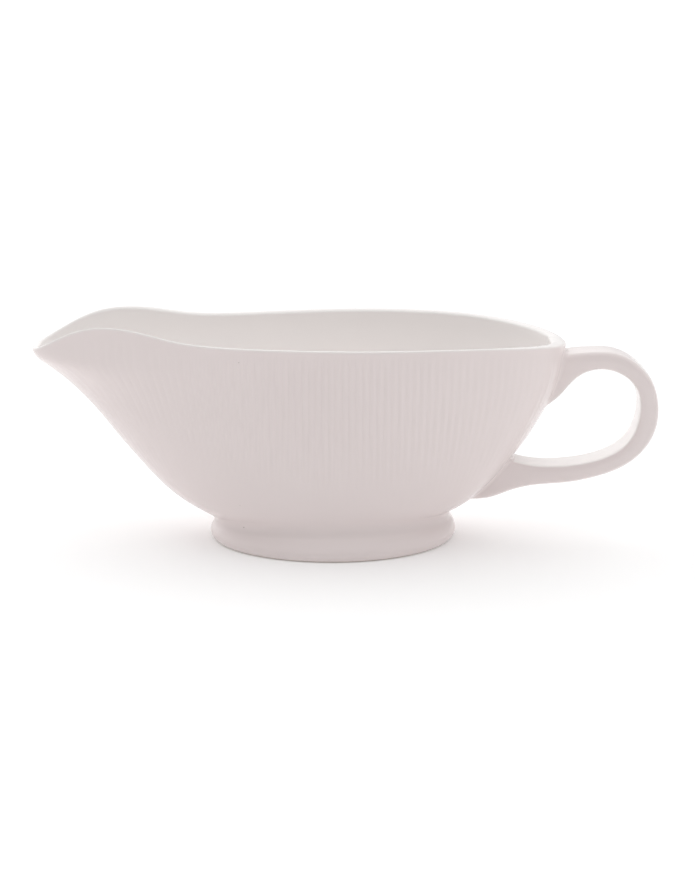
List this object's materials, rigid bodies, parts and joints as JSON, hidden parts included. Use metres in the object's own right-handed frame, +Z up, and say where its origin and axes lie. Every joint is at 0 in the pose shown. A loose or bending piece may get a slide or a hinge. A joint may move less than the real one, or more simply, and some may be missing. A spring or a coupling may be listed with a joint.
{
  "type": "gravy boat",
  "caption": "Ceramic gravy boat with a fluted oval body, raised pouring spout, oval foot ring and strap handle.",
  "frame": {"origin": "centre of the foot ring on the surface that it stands on", "axes": "+Z up, +X towards the handle, -X towards the spout; the boat is symmetric about the XZ plane"},
  "size_m": [0.2391, 0.0922, 0.0861],
  "materials": {
    "glaze": "glossy white glaze with a faint warm tint",
    "slip": "fired slip, matte off-white"
  },
  "bodies": {
    "root": {"bowl": "glaze", "foot": "glaze", "handle": "glaze", "foot_joint": "slip", "upper_handle_joint": "slip", "lower_handle_joint": "slip"}
  },
  "joints": []
}
